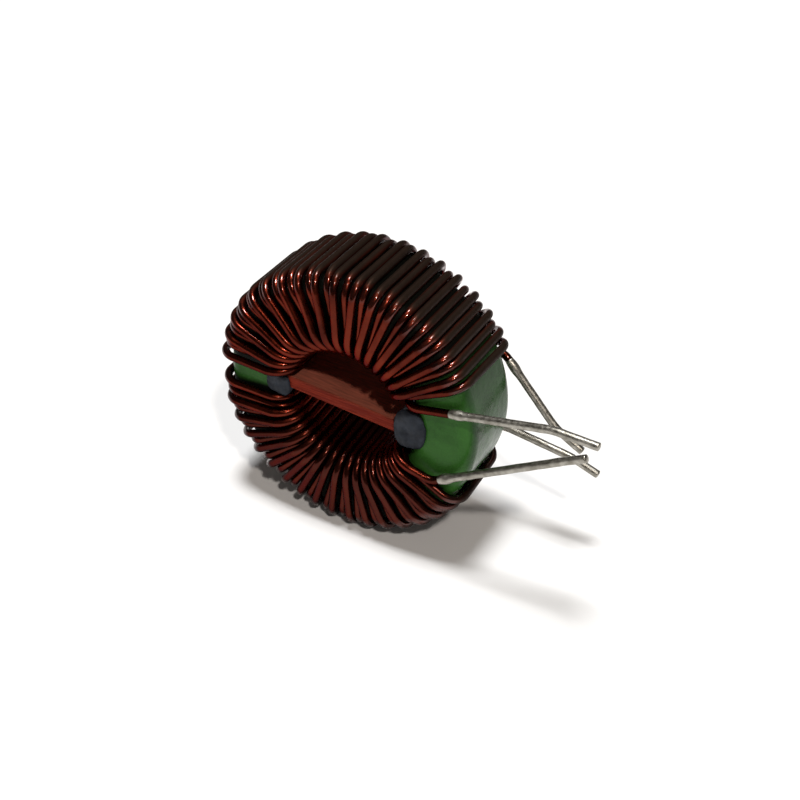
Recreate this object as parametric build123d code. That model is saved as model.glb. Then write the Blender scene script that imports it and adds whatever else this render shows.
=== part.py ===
from build123d import *
import os
from math import asin, cos, degrees, radians, sin

# Common-mode choke: two copper windings on one coated ferrite ring, standing on its rim.
# X runs along the four leads, Y is the ring's axis and Z is up. The origin is the point
# under the ring's centre where the lower winding touches the surface. Lengths are in mm.

# Core
ferrite_diameter = 27.5
ferrite_hole = 16.1
ferrite_height = 8.45
coat_wall = 0.35
coat_edge_radius = 1.5

# Enamelled wire, and the room that it keeps
wire_diameter = 0.85
copper_diameter = 0.76
lay_gap = 0.03
turn_gap = 0.02
rim_lift = 0.10
outer_lift = 0.20
inner_spring = 0.30
bend_growth_share = 0.5
loose_loop = 0.40

# Turns wound by hand lie up to this far to one side of their even places on the rim
lay_wander = 0.10
wander_step_angle = 137.5

# Clear gaps between the two windings: in the hole at the lead side and at the far side,
# and on the rim at the far side
near_hole_gap = 4.6
far_hole_gap = 2.9
far_rim_gap = 2.6
rest_share = 0.4

# Leads. Each winding has a straight lead on one face of the core, and on the other face a
# lead that turns down at a knee. Both end in a short bent end that goes into a board.
straight_spread = 0.6
straight_enamel_run = 5.6
knee_spread = 0.5
knee_radius = 1.5
bent_enamel_run = 1.2
bent_pinch = 0.5
end_bend_radius = 6.0

# Leads of the upper winding: how far they stand out past the rim along X, how much of that is
# the bent end, and the heights above the axis where the end starts and at the tip
straight_overhang_upper = 12.4
straight_end_upper = 4.5
straight_rise_upper = 6.55
straight_tip_rise_upper = 6.45
bent_overhang_upper = 7.4
bent_end_upper = 3.0
bent_drop_upper = 1.25
bent_tip_drop_upper = 2.9
knee_run_upper = 5.0
knee_rise_upper = 4.95

# Leads of the lower winding, seen with that winding turned up
straight_overhang_lower = 9.0
straight_end_lower = 3.05
straight_rise_lower = 5.0
straight_tip_rise_lower = 6.0
bent_overhang_lower = 11.0
bent_end_lower = 2.2
bent_drop_lower = 2.55
bent_tip_drop_lower = 3.8
knee_run_lower = 3.2
knee_rise_lower = 4.6

# Solder on the stripped leads
solder_wall = 0.03
solder_bead = 0.10
solder_bead_length = 1.6
bond_gap = 0.01

# Divider board and the glue at its ends
divider_thickness = 1.4
divider_fit = 0.03
divider_edge = 0.12
divider_turn_angle = 4.0
near_glue_length = 3.6
far_glue_length = 2.9
glue_overhang = 1.5
glue_proud = 0.5
glue_edge = 0.4
glue_clearance = 0.1

# Sizes that follow from those above
coat_radius = ferrite_diameter / 2 + coat_wall
hole_radius = ferrite_hole / 2 - coat_wall
coat_height = ferrite_height + 2 * coat_wall
wire_radius = wire_diameter / 2
copper_radius = copper_diameter / 2
solder_bore = copper_radius + bond_gap
lead_radius = solder_bore + solder_wall

# The first pass of a winding lies on the core, and the second pass lies on the first
layer_step = wire_diameter + lay_gap
rim_radius = coat_radius + lay_gap + wire_radius
second_rim_radius = rim_radius + rim_lift
first_radius = hole_radius - lay_gap - wire_radius
second_radius = first_radius - layer_step
first_face = coat_height / 2 + lay_gap + wire_radius
second_face = first_face + layer_step + inner_spring
first_bend = coat_edge_radius + lay_gap + wire_radius
second_bend = first_bend + bend_growth_share * layer_step

# Angles about the ring's axis, from +X towards +Z. Each pass has as many turns as fit side
# by side on the tighter second layer in the hole.
near_angle = degrees(asin((near_hole_gap / 2 + wire_radius) / first_radius))
far_angle = 180 - degrees(asin((far_hole_gap / 2 + wire_radius) / first_radius))
closest_pitch = degrees(2 * asin((wire_diameter + turn_gap) / (2 * second_radius)))
pass_turns = int((far_angle - near_angle) / closest_pitch) - 1
hole_pitch = (far_angle - near_angle) / (pass_turns + 1)

# On the rim the turns of both passes lie side by side. The second pass stands a little
# proud, and a turn of the first pass is straight below the axis. The part rests on the two
# turns beside that one, and on the next two, which are just slack enough to reach as low.
rim_turns = 2 * pass_turns
rest_turn = 2 * round(rest_share * pass_turns)
rim_end_angle = 180 - degrees(asin((far_rim_gap / 2 + wire_radius) / rim_radius))
rim_pitch = (rim_end_angle - 90) / (rim_turns - 1 - rest_turn)
wander_angle = degrees(lay_wander / rim_radius)


def polar(radius, angle, depth):
    """Return the point at this radius and angle about the ring's axis."""
    return Vector(radius * cos(radians(angle)), depth, radius * sin(radians(angle)))


def rim_angle(turn):
    """Return the angle of a turn on the rim, counted from the lead side."""
    steps = turn - rest_turn
    return 90 + steps * rim_pitch + wander_angle * sin(radians(steps * wander_step_angle))


rest_height = second_rim_radius * sin(radians(rim_angle(rest_turn + 1)))
rest_slack = rest_height / sin(radians(rim_angle(rest_turn + 2))) - rim_radius


def toroid(outer_radius, inner_radius, height, edge_radius):
    """Return a ring about the Y axis with rounded edges, centred on the origin."""
    width = outer_radius - inner_radius
    profile = Pos(inner_radius + width / 2, 0) * RectangleRounded(width, height, edge_radius)
    return revolve(profile, Axis.Y)


def straight_lead(overhang, end, rise, tip_rise):
    """Return where the end of a straight lead starts and where its tip is."""
    tip_x = rim_radius + overhang
    depth = -first_face - straight_spread
    return Vector(tip_x - end, depth, rise), Vector(tip_x, depth, tip_rise)


def bent_lead(overhang, end, drop, tip_drop, run, rise):
    """Return the knee of a bent lead, where its end starts and where its tip is."""
    tip_x = rim_radius + overhang
    depth = first_face - bent_pinch
    knee = Vector(first_radius + run, first_face + knee_spread, rise)
    return knee, Vector(tip_x - end, depth, -drop), Vector(tip_x, depth, -tip_drop)


def winding_corners():
    """Return the corners of the upper wire between its leads, and the bend radius at each.

    The wire comes in on the front face, goes round the core to the far side and back
    again in the gaps of the first pass, and leaves on the rear face.
    """
    corners = [polar(first_radius, near_angle, -first_face)]
    radii = [first_bend]

    for turn in range(pass_turns):
        hole_angle = near_angle + (turn + 1) * hole_pitch
        angle = rim_angle(2 * turn)
        # The first turn was left slack where it goes over the rear edge of the rim
        slack = loose_loop if turn == 0 else 0
        run_radius = rim_radius + rest_slack if abs(2 * turn - rest_turn) == 2 else rim_radius
        corners.append(polar(first_radius, hole_angle, first_face))
        corners.append(polar(run_radius + slack, angle, first_face))
        corners.append(polar(run_radius, angle, -first_face))
        corners.append(polar(first_radius, hole_angle, -first_face))
        radii += [first_bend] * 4

    # The wire turns back in the last gap on the core, and then lies on the first pass
    corners.append(polar(first_radius, far_angle, first_face))
    radii.append(first_bend)
    for turn in reversed(range(pass_turns)):
        hole_angle = near_angle + (turn + 3 / 2) * hole_pitch
        angle = rim_angle(2 * turn + 1)
        corners.append(polar(second_rim_radius, angle, first_face + outer_lift))
        corners.append(polar(second_rim_radius, angle, -first_face - outer_lift))
        corners.append(polar(second_radius, hole_angle, -second_face))
        corners.append(polar(second_radius, hole_angle - hole_pitch, second_face))
        radii += [first_bend, first_bend, second_bend, second_bend]
    return corners, radii


def strip_plane(root, bend, enamel_run):
    """Return the plane across a lead where its enamel ends, facing the tip."""
    direction = (bend - root).normalized()
    return Plane(origin=root + direction * enamel_run, z_dir=direction)


def along(section, *points):
    """Return this flat section swept along a lead, with its bend rounded."""
    line = FilletPolyline(*points, radius=end_bend_radius)
    return sweep(Plane(origin=line @ 0, z_dir=line % 0) * section, path=line)


def solder_bead_ring():
    """Return the bead of solder at the start of a stripped lead along +Z."""
    with BuildPart() as bead:
        with BuildSketch(Plane.XZ):
            with BuildLine():
                start = (solder_bore, bond_gap)
                end = (solder_bore, solder_bead_length)
                top = (lead_radius + solder_bead, solder_bead_length / 2)
                Polyline((lead_radius, bond_gap), start, end, (lead_radius, solder_bead_length))
                ThreePointArc((lead_radius, bond_gap), top, (lead_radius, solder_bead_length))
            make_face()
        revolve(axis=Axis.Z)
    return bead.part


def wound_wire(straight, bent):
    """Return the upper wire with its bare copper ends, and the solder on those two ends."""
    corners, radii = winding_corners()
    knee = bent[0]
    strips = (
        (strip_plane(corners[0], straight[0], straight_enamel_run), straight),
        (strip_plane(knee, bent[1], bent_enamel_run), bent[1:]),
    )

    ends = [plane.origin for plane, lead in strips]
    route = FilletPolyline(ends[0], *corners, knee, ends[1], radius=radii + [knee_radius])
    wire = sweep(Plane(origin=route @ 0, z_dir=route % 0) * Circle(wire_radius), path=route)

    solder = []
    for plane, lead in strips:
        wire += along(Circle(copper_radius), plane.origin - plane.z_dir * wire_radius, *lead)
        tube = Circle(lead_radius) - Circle(solder_bore)
        sleeve = along(tube, plane.origin + plane.z_dir * bond_gap, *lead)
        solder.append(sleeve + plane * solder_bead_ring())
    return wire, solder


def glue_bead(side, length, half_height, keep_clear):
    """Return the glue at one end of the divider, run over both faces of the core."""
    middle = side * (hole_radius + glue_overhang - length / 2)
    depth = coat_height + 2 * glue_proud
    outline = Plane.XZ * Pos(middle, 0) * Ellipse(length / 2, half_height)
    bead = extrude(outline, depth / 2, both=True)
    bead = fillet(bead.edges().filter_by(GeomType.ELLIPSE), glue_edge)
    return bead - keep_clear


# Core and its coat
ferrite = toroid(
    ferrite_diameter / 2, ferrite_hole / 2, ferrite_height, coat_edge_radius - coat_wall
)
coat_form = toroid(coat_radius, hole_radius, coat_height, coat_edge_radius)
coat_hollow = toroid(
    ferrite_diameter / 2 + bond_gap,
    ferrite_hole / 2 - bond_gap,
    ferrite_height + 2 * bond_gap,
    coat_edge_radius - coat_wall + bond_gap,
)
coat = coat_form - coat_hollow

# Divider board, wedged a little askew across the hole, and the glue at both its ends
divider_turn = Rot(0, divider_turn_angle, 0)
divider_length = 2 * (hole_radius**2 - (divider_thickness / 2) ** 2) ** 0.5 - 2 * divider_fit
divider = Box(divider_length, coat_height, divider_thickness)
divider = divider_turn * chamfer(divider.edges().filter_by(Axis.X), divider_edge)
glue_keep_clear = [
    toroid(
        coat_radius + bond_gap,
        hole_radius - bond_gap,
        coat_height + 2 * bond_gap,
        coat_edge_radius + bond_gap,
    ),
    divider_turn
    * Box(
        divider_length + 2 * bond_gap,
        coat_height + 2 * bond_gap,
        divider_thickness + 2 * bond_gap,
    ),
]
near_glue_rise = near_hole_gap / 2 - glue_clearance
far_glue_rise = far_hole_gap / 2 - glue_clearance
glue_near = glue_bead(1, near_glue_length, near_glue_rise, glue_keep_clear)
glue_far = glue_bead(-1, far_glue_length, far_glue_rise, glue_keep_clear)

# The lower winding is wound like the upper one and turned half round the X axis
half_turn = Rot(180, 0, 0)
upper_wire, upper_solder = wound_wire(
    straight_lead(
        straight_overhang_upper, straight_end_upper, straight_rise_upper, straight_tip_rise_upper
    ),
    bent_lead(
        bent_overhang_upper,
        bent_end_upper,
        bent_drop_upper,
        bent_tip_drop_upper,
        knee_run_upper,
        knee_rise_upper,
    ),
)
lower_wire, lower_solder = wound_wire(
    straight_lead(
        straight_overhang_lower, straight_end_lower, straight_rise_lower, straight_tip_rise_lower
    ),
    bent_lead(
        bent_overhang_lower,
        bent_end_lower,
        bent_drop_lower,
        bent_tip_drop_lower,
        knee_run_lower,
        knee_rise_lower,
    ),
)
ring_height = max(rest_height, rim_radius) + wire_radius

nodes = {
    "ferrite_core": ferrite,
    "core_coat": coat,
    "winding_upper": upper_wire,
    "winding_lower": half_turn * lower_wire,
    "divider_board": divider,
    "glue_near": glue_near,
    "glue_far": glue_far,
    "solder_upper_front": upper_solder[0],
    "solder_upper_rear": upper_solder[1],
    "solder_lower_rear": half_turn * lower_solder[0],
    "solder_lower_front": half_turn * lower_solder[1],
}

os.makedirs("parts", exist_ok=True)
for name, solid in nodes.items():
    export_step(Pos(0, 0, ring_height) * solid, f"parts/{name}.step")

print(f"turns in each winding: {rim_turns}, pitch on the rim {rim_pitch:.2f} degrees")
print(f"wound ring: {2 * (second_rim_radius + wire_radius):.2f} across, axis at {ring_height:.2f}")
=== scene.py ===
# %% [markdown]
# A toroidal common-mode inductor: two windings of enamelled copper wire on one green coated
# ferrite ring. The CAD model already holds the shape of every piece at its real size, so this
# lesson loads it as a fixed frame and gives it its looks: the enamel, the coat, the fibre board,
# the uneven glue and the tinned leads, then the floor, the light and the camera.

# %% Load the frame
from math import cos, degrees, exp, radians, sin, tan

import bmesh
import bpy
from mathutils import Matrix, Vector, noise


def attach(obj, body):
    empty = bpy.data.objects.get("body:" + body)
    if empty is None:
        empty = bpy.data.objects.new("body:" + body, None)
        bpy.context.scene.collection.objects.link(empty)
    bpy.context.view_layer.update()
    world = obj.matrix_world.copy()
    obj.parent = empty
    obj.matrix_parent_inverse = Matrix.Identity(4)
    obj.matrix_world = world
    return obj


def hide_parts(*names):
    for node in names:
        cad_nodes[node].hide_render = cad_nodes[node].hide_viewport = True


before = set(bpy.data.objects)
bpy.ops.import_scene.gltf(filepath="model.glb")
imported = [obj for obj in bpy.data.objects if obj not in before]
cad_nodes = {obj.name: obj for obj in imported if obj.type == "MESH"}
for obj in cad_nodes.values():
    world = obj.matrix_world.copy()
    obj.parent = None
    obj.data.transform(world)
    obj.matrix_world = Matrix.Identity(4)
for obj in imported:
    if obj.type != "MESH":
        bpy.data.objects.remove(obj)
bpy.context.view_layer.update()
MM = 0.001
print("CAD nodes:", ", ".join(sorted(cad_nodes)))

# %% [markdown]
# Every finish here is a small graph of nodes that reads Object coordinates, which are metres on
# the part itself, so a pattern keeps its real scale and stays in place from every side. Painting
# on an image would need UV maps on thousands of wire faces; noise in space needs none. A few short
# helpers keep the graphs readable.

# %% Helpers that build a finish
def new_finish(name):
    """Return a new material, its node tree, its shader and its Object coordinates."""
    finish = bpy.data.materials.new(name)
    finish.use_nodes = True
    tree = finish.node_tree
    place = tree.nodes.new("ShaderNodeTexCoord").outputs["Object"]
    return finish, tree, tree.nodes["Principled BSDF"], place


def fill(tree, node, inputs):
    """Set or link a node's inputs, given by name or number."""
    for name, value in inputs.items():
        if isinstance(value, bpy.types.NodeSocket):
            tree.links.new(value, node.inputs[name])
        else:
            node.inputs[name].default_value = value


def add(tree, kind, inputs, output=0, **settings):
    """Add a node with these inputs and settings, and return one of its outputs."""
    made = tree.nodes.new(kind)
    for name, value in settings.items():
        setattr(made, name, value)
    fill(tree, made, inputs)
    return made.outputs[output]


def wear(node, finish):
    """Give a CAD node a finish."""
    cad_nodes[node].material_slots[0].material = finish
    print(node, "wears", finish.name)


print("helpers ready: new_finish, fill, add, wear")

# %% Helpers that make patterns
def grain(tree, place, size_mm, detail=2.0):
    """Return noise from 0 to 1 whose patches are about this many millimetres across."""
    inputs = {"Vector": place, "Scale": 1 / (size_mm * MM), "Detail": detail}
    return add(tree, "ShaderNodeTexNoise", inputs)


def spread(tree, value, low, high, start=0.35, end=0.65):
    """Return a value stretched to low..high from start..end, where most of a noise lies."""
    inputs = {"Value": value, "From Min": start, "From Max": end, "To Min": low, "To Max": high}
    return add(tree, "ShaderNodeMapRange", inputs)


def blend(tree, share, first, second):
    """Return a colour between two colours. Sockets 0, 6 and 7 are the share and the colours."""
    return add(tree, "ShaderNodeMix", {0: share, 6: first, 7: second}, output=2, data_type="RGBA")


def bump(tree, height, depth_mm):
    """Return a surface direction tilted as if the height pattern were this deep."""
    inputs = {"Height": height, "Distance": depth_mm * MM, "Strength": 1.0}
    return add(tree, "ShaderNodeBump", inputs)


print("helpers ready: grain, spread, blend, bump")

# %% Helpers that measure
def calculate(tree, operation, *values, **settings):
    """Return the result of one operation on up to three numbers."""
    return add(tree, "ShaderNodeMath", dict(enumerate(values)), operation=operation, **settings)


def measure(tree, operation, *vectors, output=0):
    """Return the result of one operation on vectors. Output 1 is a number, output 0 a vector."""
    inputs = dict(enumerate(vectors))
    return add(tree, "ShaderNodeVectorMath", inputs, output=output, operation=operation)


def facing_y(tree):
    """Return how squarely the surface faces to the front or the rear, from 0 to 1."""
    normal = tree.nodes.new("ShaderNodeNewGeometry").outputs["Normal"]
    return calculate(tree, "ABSOLUTE", add(tree, "ShaderNodeSeparateXYZ", {0: normal}, output=1))


print("helpers ready: calculate, measure, facing_y")

# %% [markdown]
# Four stripped and tinned leads stand out to one side. Each is listed as three points in
# millimetres: where its enamel ends, where its end is bent, and its tip. The enamel finish uses
# the first point, and the solder follows the whole line.

# %% The four leads
END_BEND_RADIUS = 6.0 * MM
lead_points_mm = {
    "upper_front": ((12.151, -5.237, 19.078), (22.455, -5.630, 21.582), (26.955, -5.630, 21.482)),
    "upper_rear": ((13.121, 5.399, 19.172), (18.955, 4.530, 13.782), (21.955, 4.530, 12.132)),
    "lower_rear": ((12.233, 5.270, 11.396), (20.505, 5.630, 10.032), (23.555, 5.630, 9.032)),
    "lower_front": ((11.492, -5.449, 11.012), (23.355, -4.530, 17.582), (25.555, -4.530, 18.832)),
}
leads = {name: [Vector(point) * MM for point in points] for name, points in lead_points_mm.items()}


def lead_length(lead):
    """Return the length of a lead from the end of its enamel to its tip."""
    strip, bend, tip = lead
    return (bend - strip).length + (tip - bend).length


for name, lead in leads.items():
    print(f"{name}: stripped for {lead_length(lead) / MM:.1f} mm")

# %% [markdown]
# The windings are copper seen through a thin red-brown enamel. The drawn copper is slightly rough,
# so a metallic shader with the enamel's tint spreads each light into a red sheen. Clear varnish
# gathered on the bends at the edge of the rim and gives each a sharp glint. The outer runs on the
# rim are rubbed, so they are dull, and their colour is darkened almost to black as painted shade.

# %% Enamelled copper: colour
enamel, tree, shader, place = new_finish("enamelled_copper_wire")
ENAMEL_DEEP = (0.058, 0.0075, 0.0035, 1.0)
ENAMEL_CLEAR = (0.140, 0.019, 0.0085, 1.0)
PATCH_MM = 3.5
patches = spread(tree, grain(tree, place, PATCH_MM, detail=3.0), 0.0, 1.0)
colour = blend(tree, patches, ENAMEL_DEEP, ENAMEL_CLEAR)

# Painted shade: the enamel's colour darkens towards the bottom of the lower winding, where less
# light falls
ENAMEL_LOW_SHADE, LOW_SHADE_SHARE = (0.050, 0.012, 0.008, 1.0), 0.75
LOW_SHADE_BELOW, LOW_SHADE_END = 9.0 * MM, 13.0 * MM
height = add(tree, "ShaderNodeSeparateXYZ", {"Vector": place}, output=2)
low = spread(tree, height, LOW_SHADE_SHARE, 0.0, LOW_SHADE_BELOW, LOW_SHADE_END)
colour = blend(tree, low, colour, ENAMEL_LOW_SHADE)

# Heat from the solder pot browns the enamel next to each stripped lead
ENAMEL_BURNT, BURNT_SHARE = (0.030, 0.010, 0.005, 1.0), 0.7
BURNT_NEAR, BURNT_FAR = 0.4 * MM, 1.5 * MM
for strip, _, _ in leads.values():
    distance = measure(tree, "DISTANCE", place, strip, output=1)
    burnt = spread(tree, distance, BURNT_SHARE, 0.0, BURNT_NEAR, BURNT_FAR)
    colour = blend(tree, burnt, colour, ENAMEL_BURNT)
print("enamel: browned near", len(leads), "stripped leads")

# %% Enamelled copper: dull outer runs, with painted shade
RING_AXIS = 15.032 * MM
DULL_FROM, DULL_TO = 14.50 * MM, 14.95 * MM
ENAMEL_DULL_SHADE = (0.019, 0.0125, 0.009, 1.0)
COPPER_METAL, DULL_METAL = 1.0, 0.4
off_axis = measure(tree, "SUBTRACT", place, (0.0, 0.0, RING_AXIS))
off_axis = measure(tree, "MULTIPLY", off_axis, (1.0, 0.0, 1.0))
radius = measure(tree, "LENGTH", off_axis, output=1)
outer_dull_and_shade = spread(tree, radius, 0.0, 1.0, DULL_FROM, DULL_TO)
metal = spread(tree, outer_dull_and_shade, COPPER_METAL, DULL_METAL, 0.0, 1.0)
# Painted shade: the outer runs' colour is darkened almost to black
colour = blend(tree, outer_dull_and_shade, colour, ENAMEL_DULL_SHADE)
fill(tree, shader, {"Base Color": colour, "Metallic": metal})
print(f"enamel: dull from {DULL_FROM / MM:.1f} mm off the ring's axis")

# %% Enamelled copper: gloss and varnish
ENAMEL_GLOSS, DULL_ROUGHNESS = (0.22, 0.34), 0.22
BEND_FROM, BEND_TO = 13.20 * MM, 13.90 * MM
VARNISH_THIN, VARNISH_THICK, VARNISH_ROUGHNESS = 0.10, 0.80, 0.08
ENAMEL_TINT = (0.30, 0.10, 0.06, 1.0)
GLOSS_MM, DRAWN_MM, DRAWN_DEPTH_MM = 0.8, 0.35, 0.006
gloss = spread(tree, grain(tree, place, GLOSS_MM), *ENAMEL_GLOSS)
varnish = spread(tree, radius, VARNISH_THIN, VARNISH_THICK, BEND_FROM, BEND_TO)
fill(tree, shader, {
    "Roughness": calculate(tree, "MULTIPLY_ADD", outer_dull_and_shade, DULL_ROUGHNESS, gloss),
    "Coat Weight": calculate(tree, "SUBTRACT", varnish, outer_dull_and_shade, use_clamp=True),
    "Coat Roughness": VARNISH_ROUGHNESS,
    "Specular Tint": ENAMEL_TINT,
    "Normal": bump(tree, grain(tree, place, DRAWN_MM), DRAWN_DEPTH_MM),
})
for name in ("winding_upper", "winding_lower"):
    wear(name, enamel)

# %% [markdown]
# The ring is dipped or sprayed with a green epoxy that dries with a faint orange peel. It ran
# smooth round the rim, which mirrors the pale floor, so it greys at low angles by itself. The
# rim's colour is darker than the faces' as painted shade, and the faces lay on a rack to dry and
# are duller. The ferrite under the coat is out of sight, but gets its own dark, grainy finish.

# %% Green epoxy coat: faces, and rim with painted shade
coat, tree, shader, place = new_finish("green_epoxy_coat")
GREEN_DEEP = (0.024, 0.092, 0.014, 1.0)
GREEN_PALE = (0.040, 0.142, 0.024, 1.0)
RIM_SHADE_DEEP = (0.013, 0.050, 0.009, 1.0)
RIM_SHADE_PALE = (0.022, 0.078, 0.016, 1.0)
CLOUD_MM, SPECK_MM, SPECK_SHARE = 2.6, 0.16, 0.35
RIM_BELOW, FACE_ABOVE = 0.45, 0.80
FACE_SHINE, RIM_SHINE = 0.10, 0.18
cloud = spread(tree, grain(tree, place, CLOUD_MM, detail=4.0), 0.0, 1.0)
speck = spread(tree, grain(tree, place, SPECK_MM), 0.0, SPECK_SHARE)
mottle = calculate(tree, "ADD", cloud, speck, use_clamp=True)
on_faces = blend(tree, mottle, GREEN_DEEP, GREEN_PALE)
# Painted shade: the rim's colours are darker than the faces' colours
on_rim_shaded = blend(tree, mottle, RIM_SHADE_DEEP, RIM_SHADE_PALE)
rim = spread(tree, facing_y(tree), 1.0, 0.0, RIM_BELOW, FACE_ABOVE)
colour = blend(tree, rim, on_faces, on_rim_shaded)
shine = spread(tree, rim, FACE_SHINE, RIM_SHINE, 0.0, 1.0)
fill(tree, shader, {"Specular IOR Level": shine})
print("coat: faces and rim coloured")

# %% Green epoxy coat: dark varnish and painted shade under the windings
VARNISH_AND_SHADE, VARNISHED_ROUGHNESS = (0.004, 0.005, 0.003, 1.0), 0.4
WOUND_FROM, WOUND_TO = radians(27), radians(176)
FIRST_FADE, LAST_FADE = radians(12), radians(3)
COAT_GLOSS, COAT_GLOSS_MM = (0.16, 0.30), 1.2
PEEL_MM, PEEL_DEPTH_MM = 0.7, 0.03
along = tree.nodes.new("ShaderNodeSeparateXYZ")
fill(tree, along, {"Vector": place})
above = calculate(tree, "SUBTRACT", along.outputs["Z"], RING_AXIS)
above = calculate(tree, "ABSOLUTE", above)
bearing = calculate(tree, "ARCTAN2", above, along.outputs["X"])
after = spread(tree, bearing, 0.0, 1.0, WOUND_FROM, WOUND_FROM + FIRST_FADE)
before = spread(tree, bearing, 1.0, 0.0, WOUND_TO - LAST_FADE, WOUND_TO)
wound = calculate(tree, "MINIMUM", after, before)
gloss = spread(tree, grain(tree, place, COAT_GLOSS_MM), *COAT_GLOSS)
# Painted shade: under the windings the coat's colour is darkened nearly to black, as the shade
# between the turns; the roughness there is the varnish's
fill(tree, shader, {
    "Base Color": blend(tree, wound, colour, VARNISH_AND_SHADE),
    "Roughness": calculate(tree, "MULTIPLY_ADD", wound, VARNISHED_ROUGHNESS, gloss),
    "Normal": bump(tree, grain(tree, place, PEEL_MM), PEEL_DEPTH_MM),
})
wear("core_coat", coat)

# %% Sintered ferrite
ferrite, tree, shader, place = new_finish("sintered_ferrite")
FERRITE_DARK = (0.010, 0.010, 0.011, 1.0)
FERRITE_PALE = (0.030, 0.030, 0.033, 1.0)
PORE_MM, FERRITE_GLOSS = 0.3, (0.55, 0.80)
pores = spread(tree, grain(tree, place, PORE_MM, detail=4.0), 0.0, 1.0)
fill(tree, shader, {
    "Base Color": blend(tree, pores, FERRITE_DARK, FERRITE_PALE),
    "Roughness": spread(tree, pores, *FERRITE_GLOSS, 0.0, 1.0),
})
wear("ferrite_core", ferrite)

# %% [markdown]
# The divider is punched from red-brown vulcanised fibre: paper pressed in many layers. Its broad
# sides are smooth with drawn-out fibres, and its cut edges show the layers, redder and rougher.
# The surface direction tells the edges from the sides.

# %% Red fibre board: sides and cut edges
fibre, tree, shader, place = new_finish("red_fibre_board")
FIBRE_DARK = (0.270, 0.085, 0.055, 1.0)
FIBRE_RED = (0.420, 0.120, 0.075, 1.0)
LAYER_RED = (0.150, 0.015, 0.008, 1.0)
LAYER_TAN = (0.260, 0.033, 0.016, 1.0)
FIBRE_MM, FIBRE_DRAW = 0.25, (0.12, 1.0, 1.0)
LAYER_MM, LAYER_DRAW, LAYER_DEPTH_MM = 0.22, (0.05, 0.05, 1.0), 0.04
LAYER_FROM, LAYER_TO = 0.42, 0.66
SIDE_BELOW, EDGE_ABOVE = 0.4, 0.8
FIBRE_GLOSS, FIBRE_SHINE = (0.45, 0.70), 0.05
drawn = add(tree, "ShaderNodeMapping", {"Vector": place, "Scale": FIBRE_DRAW})
fibres = spread(tree, grain(tree, drawn, FIBRE_MM, detail=4.0), 0.0, 1.0)
sides = blend(tree, fibres, FIBRE_DARK, FIBRE_RED)
layered = add(tree, "ShaderNodeMapping", {"Vector": place, "Scale": LAYER_DRAW})
layers = grain(tree, layered, LAYER_MM, detail=3.0)
layers = spread(tree, layers, 0.0, 1.0, LAYER_FROM, LAYER_TO)
edges = blend(tree, layers, LAYER_RED, LAYER_TAN)
cut = spread(tree, facing_y(tree), 0.0, 1.0, SIDE_BELOW, EDGE_ABOVE)
fill(tree, shader, {
    "Base Color": blend(tree, cut, sides, edges),
    "Roughness": spread(tree, fibres, *FIBRE_GLOSS, 0.0, 1.0),
    "Normal": bump(tree, layers, LAYER_DEPTH_MM),
    "Specular IOR Level": FIBRE_SHINE,
})
wear("divider_board", fibre)

# %% [markdown]
# Grey glue holds the ends of the board. It was put on by hand and set as a lumpy smear, so the
# plain CAD bead is too neat. A copy of the CAD mesh is merged and remeshed into even small faces,
# and then squared up, smoothed and pushed in and out by noise, which keeps the glue where the CAD
# has it.

# %% Glue finish
glue, tree, shader, place = new_finish("grey_glue")
GLUE_DARK = (0.009, 0.011, 0.016, 1.0)
GLUE_PALE = (0.026, 0.032, 0.044, 1.0)
SMEAR_MM, GLUE_GLOSS_MM, GLUE_GLOSS = 1.1, 0.6, (0.38, 0.62)
PIT_MM, PIT_DEPTH_MM, GLUE_SHINE = 0.4, 0.025, 0.15
smear = spread(tree, grain(tree, place, SMEAR_MM, detail=5.0), 0.0, 1.0)
fill(tree, shader, {
    "Base Color": blend(tree, smear, GLUE_DARK, GLUE_PALE),
    "Roughness": spread(tree, grain(tree, place, GLUE_GLOSS_MM), *GLUE_GLOSS),
    "Normal": bump(tree, grain(tree, place, PIT_MM, detail=3.0), PIT_DEPTH_MM),
    "Specular IOR Level": GLUE_SHINE,
})
print("finish ready:", glue.name)

# %% Helpers that finish a piece
def new_piece(name, shape, finish):
    """Return an object made from a bmesh, smooth shaded, with one finish."""
    mesh = bpy.data.meshes.new(name)
    shape.to_mesh(mesh)
    shape.free()
    mesh.shade_smooth()
    mesh.materials.append(finish)
    piece = bpy.data.objects.new(name, mesh)
    bpy.context.collection.objects.link(piece)
    return piece


def stand_for(piece, node):
    """Let a piece stand for a CAD node, which is hidden, and move with the part."""
    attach(piece, "root")
    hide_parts(node)
    print(f"{piece.name} stands for {node}: {len(piece.data.polygons)} faces")


print("helpers ready: new_piece, stand_for")

# %% Remesh a copy of a CAD node
MERGE_WITHIN = 0.001 * MM


def even_copy(node, face_size):
    """Return a bmesh of the node's shape in even faces of about this size."""
    shape = bmesh.new()
    shape.from_mesh(cad_nodes[node].data)
    bmesh.ops.remove_doubles(shape, verts=shape.verts, dist=MERGE_WITHIN)
    mesh = bpy.data.meshes.new("copy_of_" + node)
    shape.to_mesh(mesh)
    shape.free()
    copy = bpy.data.objects.new("copy_of_" + node, mesh)
    bpy.context.collection.objects.link(copy)
    voxels = copy.modifiers.new("voxels", "REMESH")
    voxels.mode = "VOXEL"
    voxels.voxel_size = face_size
    evaluated = copy.evaluated_get(bpy.context.evaluated_depsgraph_get())
    even = bmesh.new()
    even.from_mesh(evaluated.to_mesh())
    bpy.data.objects.remove(copy)
    bpy.data.meshes.remove(mesh)
    return even


print("helper ready: even_copy")

# %% Square up the glue on the faces
FACE_FROM, FACE_TO, SQUARENESS = 4.35 * MM, 4.75 * MM, 2.8


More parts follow.
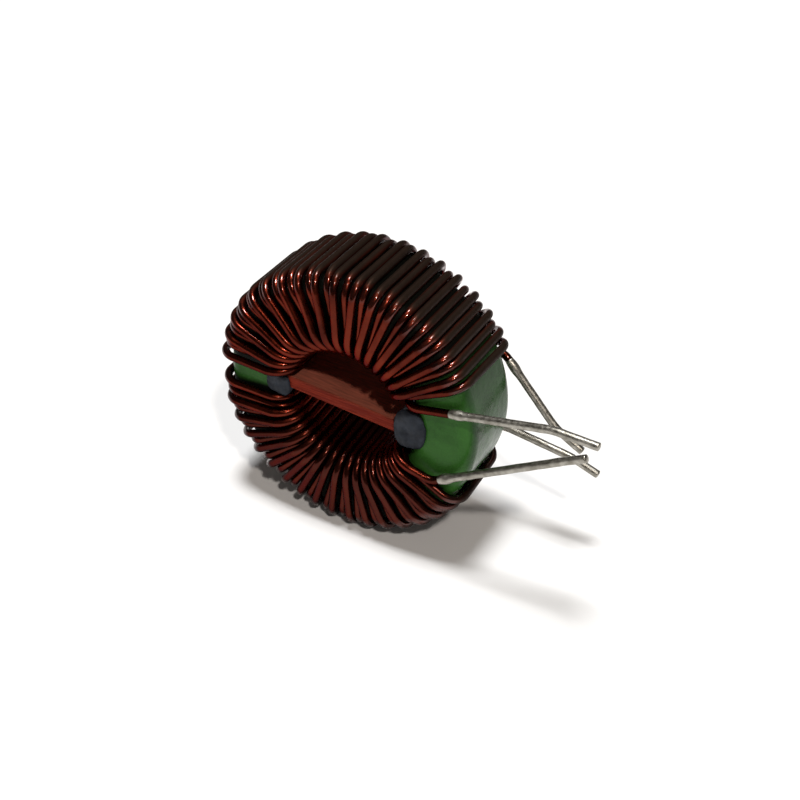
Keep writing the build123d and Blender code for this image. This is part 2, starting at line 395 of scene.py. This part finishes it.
def square_up(blob):
    """Push the corners of an oval bead out where it lies on the faces of the core."""
    low = Vector([min(vert.co[axis] for vert in blob.verts) for axis in range(3)])
    high = Vector([max(vert.co[axis] for vert in blob.verts) for axis in range(3)])
    middle, half = (low + high) / 2, (high - low) / 2
    for vert in blob.verts:
        across, up = (vert.co.x - middle.x) / half.x, (vert.co.z - middle.z) / half.z
        oval = (across**2 + up**2) ** 0.5
        square = (abs(across) ** SQUARENESS + abs(up) ** SQUARENESS) ** (1 / SQUARENESS)
        on_face = min(max((abs(vert.co.y) - FACE_FROM) / (FACE_TO - FACE_FROM), 0.0), 1.0)
        growth = 1 + on_face * (oval / square - 1) if square > 0 else 1.0
        vert.co.x = middle.x + growth * across * half.x
        vert.co.z = middle.z + growth * up * half.z


print(f"corners move out by {2 ** (0.5 - 1 / SQUARENESS) - 1:.0%}")

# %% Uneven glue at both ends of the board
GLUE_FACE, SMOOTHINGS = 0.11 * MM, 5
LUMP_SIZE, LUMP_HEIGHT = 1.3 * MM, 0.17 * MM
RIPPLE_SIZE, RIPPLE_HEIGHT = 0.45 * MM, 0.04 * MM
noise_shifts = {"near": Vector((3.0, 0.0, 0.0)), "far": Vector((0.0, 7.0, 0.0))}
for end, shift in noise_shifts.items():
    blob = even_copy("glue_" + end, GLUE_FACE)
    square_up(blob)
    for _ in range(SMOOTHINGS):
        bmesh.ops.smooth_vert(
            blob, verts=blob.verts, factor=0.5, use_axis_x=True, use_axis_y=True, use_axis_z=True
        )
    blob.normal_update()
    for vert in blob.verts:
        lump = LUMP_HEIGHT * noise.noise(vert.co / LUMP_SIZE + shift)
        ripple = RIPPLE_HEIGHT * noise.noise(vert.co / RIPPLE_SIZE + shift)
        vert.co += vert.normal * (lump + ripple)
    stand_for(new_piece("glue_smear_" + end, blob, glue), "glue_" + end)

# %% [markdown]
# Each lead was dipped in a pot of solder, which burns off the enamel and leaves a thin uneven
# tin: a thick collar where the dip stopped, waves along the wire, and a blunt drop over the tip.
# A cone primitive with two equal ends gives a rod, insets round off its ends and cuts along it
# give it rings. Each vertex is then moved: first in or out for the waves, then onto the bent line
# of its lead.

# %% Tinned finish
tin, tree, shader, place = new_finish("dull_tin")
TIN_DARK = (0.250, 0.235, 0.200, 1.0)
TIN_PALE = (0.430, 0.410, 0.365, 1.0)
DULL_MM, TIN_GLOSS_MM, TIN_GLOSS = 0.7, 0.3, (0.52, 0.32)
FROST_MM, FROST_DEPTH_MM = 0.2, 0.007
dull = spread(tree, grain(tree, place, DULL_MM, detail=4.0), 0.0, 1.0)
fill(tree, shader, {
    "Base Color": blend(tree, dull, TIN_DARK, TIN_PALE),
    "Roughness": spread(tree, grain(tree, place, TIN_GLOSS_MM, detail=3.0), *TIN_GLOSS),
    "Normal": bump(tree, grain(tree, place, FROST_MM, detail=3.0), FROST_DEPTH_MM),
    "Metallic": 1.0,
})
print("finish ready:", tin.name)

# %% Follow a lead
def place_on_lead(lead, distance):
    """Return the point this far past the end of the enamel, and the way the lead runs there."""
    strip, bend, tip = lead
    first, last = (bend - strip).normalized(), (tip - bend).normalized()
    past_bend = distance - (bend - strip).length
    reach = END_BEND_RADIUS * tan(first.angle(last) / 2)
    share = min(max(past_bend / (2 * reach) + 0.5, 0.0), 1.0)
    if share == 0.0:
        point = strip + first * distance
    elif share == 1.0:
        point = bend + last * past_bend
    else:
        start, end = bend - first * reach, bend + last * reach
        point = start.lerp(bend, share).lerp(bend.lerp(end, share), share)
    return point, first.lerp(last, share).normalized()


for name, lead in leads.items():
    middle, _ = place_on_lead(lead, lead_length(lead) / 2)
    print(name, "is half way at", [round(value / MM, 2) for value in middle])

# %% Shape of the solder along a lead
TIN_RADIUS = 0.415 * MM
COLLAR_HEIGHT, COLLAR_MIDDLE, COLLAR_WIDTH = 0.130 * MM, 0.60 * MM, 0.62 * MM
COLLAR_UNEVENNESS = 0.5
WAVE_HEIGHT, WAVE_LENGTH, WAVE_ROUND = 0.024 * MM, 1.1 * MM, 0.35
DEEPEST_DIP = -0.3
FINE_SCALE, FINE_SHARE = 2.7, 0.3


def tin_radius(distance, angle, seed):
    """Return how far the solder reaches from the wire's middle, with its collar and waves."""
    collar = COLLAR_HEIGHT * exp(-(((distance - COLLAR_MIDDLE) / COLLAR_WIDTH) ** 2))
    round_wire = Vector((WAVE_ROUND * cos(angle), WAVE_ROUND * sin(angle), distance / WAVE_LENGTH))
    wave = noise.noise(round_wire + Vector((seed, 0.0, 0.0)))
    fine = noise.noise(FINE_SCALE * round_wire + Vector((0.0, seed, 0.0)))
    collar *= 1 + COLLAR_UNEVENNESS * wave
    return TIN_RADIUS + collar + WAVE_HEIGHT * (max(wave, DEEPEST_DIP) + FINE_SHARE * fine)


print(f"collar radius about {tin_radius(COLLAR_MIDDLE, 0.0, 1.0) / MM:.2f} mm")

# %% Tin the four leads
TIN_SIDES, TIN_STEP = 36, 0.10 * MM
TIP_STEPS = ((0.10 * MM, 0.06 * MM), (0.14 * MM, 0.04 * MM))
CREEP = 0.25 * MM
SEED_STEP = 3.7
UP = Vector((0.0, 0.0, 1.0))
for count, (name, lead) in enumerate(leads.items(), start=1):
    length = lead_length(lead)
    rod = bmesh.new()
    bmesh.ops.create_cone(
        rod,
        segments=TIN_SIDES,
        radius1=TIN_RADIUS,
        radius2=TIN_RADIUS,
        depth=length + CREEP,
        cap_ends=True,
    )
    ends = [face for face in rod.faces if len(face.verts) == TIN_SIDES]
    end_edges = {edge for face in ends for edge in face.edges}
    long_edges = [edge for edge in rod.edges if edge not in end_edges]
    for width, rise in TIP_STEPS:
        bmesh.ops.inset_individual(rod, faces=ends, thickness=width, depth=rise)
    cuts = int(length / TIN_STEP)
    bmesh.ops.subdivide_edges(rod, edges=long_edges, cuts=cuts, use_grid_fill=True)
    for vert in rod.verts:
        distance = vert.co.z + (length + CREEP) / 2 - CREEP
        around = vert.co.xy
        angle = Vector((1.0, 0.0)).angle_signed(around) if around.length > 0 else 0.0
        grown = around * (tin_radius(distance, angle, SEED_STEP * count) / TIN_RADIUS)
        point, heading = place_on_lead(lead, distance)
        side = heading.cross(UP).normalized()
        vert.co = point + side * grown.x + side.cross(heading) * grown.y
    bmesh.ops.recalc_face_normals(rod, faces=rod.faces)
    stand_for(new_piece("tinned_" + name, rod, tin), "solder_" + name)

# %% [markdown]
# The part stands on white paper under a ceiling light, which puts its shadow straight below it. A
# smaller lamp above the camera puts a glint on every wire where the face turns into the rim. The
# room is dim and a little warm, so it only softens the shadows.

# %% White floor
FLOOR_SIDE = 4.0
FLOOR_DROP = 0.01 * MM
FLOOR_LIFT = 0.01
PAPER_WHITE, PURE_WHITE = (0.90, 0.90, 0.90, 1.0), (1.0, 1.0, 1.0, 1.0)
PAPER_ROUGHNESS = 0.9
plate = bmesh.new()
bmesh.ops.create_grid(plate, x_segments=1, y_segments=1, size=FLOOR_SIDE / 2)
bmesh.ops.translate(plate, verts=plate.verts, vec=(0.0, 0.0, -FLOOR_DROP))

# A little extra light, seen only by the camera and in mirrors, takes the paper to pure white
paper, tree, shader, _ = new_finish("white_paper")
rays = tree.nodes.new("ShaderNodeLightPath").outputs
seen = calculate(tree, "ADD", rays["Is Camera Ray"], rays["Is Glossy Ray"])
seen = calculate(tree, "ADD", seen, rays["Is Transmission Ray"], use_clamp=True)
fill(tree, shader, {
    "Base Color": PAPER_WHITE,
    "Roughness": PAPER_ROUGHNESS,
    "Specular IOR Level": 0.0,
    "Emission Color": PURE_WHITE,
    "Emission Strength": calculate(tree, "MULTIPLY", seen, FLOOR_LIFT),
})
floor = new_piece("floor", plate, paper)
print("floor", FLOOR_SIDE, "m across")

# %% Dim room
world = bpy.data.worlds.new("dim_room")
bpy.context.scene.world = world
world.use_nodes = True
ROOM = (0.066, 0.060, 0.054, 1.0)
world.node_tree.nodes["Background"].inputs["Color"].default_value = ROOM
print("room brightness", ROOM[:3])

# %% Ceiling light and a lamp above the camera
WHITE, WARM = (1.0, 1.0, 1.0), (1.0, 0.92, 0.84)
lamps = {
    "ceiling": (Vector((-0.07, -0.03, 1.0)), 2.9, 13, WHITE),
    "lamp": (Vector((0.43, -0.46, 0.78)), 1.05, 4, WARM),
}
for name, (source, energy, width_degrees, tint) in lamps.items():
    sun = bpy.data.lights.new(name, "SUN")
    sun.energy = energy
    sun.angle = radians(width_degrees)
    sun.color = tint
    light = bpy.data.objects.new(name, sun)
    light.rotation_euler = source.to_track_quat("Z", "Y").to_euler()
    bpy.context.collection.objects.link(light)
    print(name, "tilted", round(degrees(source.angle(UP)), 1), "degrees from overhead")

# %% [markdown]
# The camera stands where the photograph was taken from: to the right of the ring's axis, above
# it, and tilted a little. Its lens and shift come from fitting the ring's circles to the picture.

# %% Camera
AZIMUTH, ELEVATION, ROLL = radians(29.31), radians(35.65), radians(1.25)
DISTANCE, NEAREST_SEEN = 150 * MM, 10 * MM
FOCAL_LENGTH, SENSOR_WIDTH = 66.33, 36.0
SHIFT_X, SHIFT_Y = 0.0400, -0.0218
ring_centre = Vector((0.0, 0.0, RING_AXIS))
back = Vector((sin(AZIMUTH) * cos(ELEVATION), -cos(AZIMUTH) * cos(ELEVATION), sin(ELEVATION)))
level = Vector((cos(AZIMUTH), sin(AZIMUTH), 0.0))
right = Matrix.Rotation(ROLL, 3, back) @ level
turn = Matrix((right, back.cross(right), back)).transposed()
lens = bpy.data.cameras.new("camera")
lens.lens, lens.sensor_width = FOCAL_LENGTH, SENSOR_WIDTH
lens.shift_x, lens.shift_y = SHIFT_X, SHIFT_Y
lens.clip_start = NEAREST_SEEN
camera = bpy.data.objects.new("camera", lens)
camera.matrix_world = Matrix.Translation(ring_centre + back * DISTANCE) @ turn.to_4x4()
bpy.context.collection.objects.link(camera)
bpy.context.scene.camera = camera
bpy.context.scene.view_settings.view_transform = "Standard"
print("camera at", [round(value / MM, 1) for value in camera.matrix_world.translation], "mm")
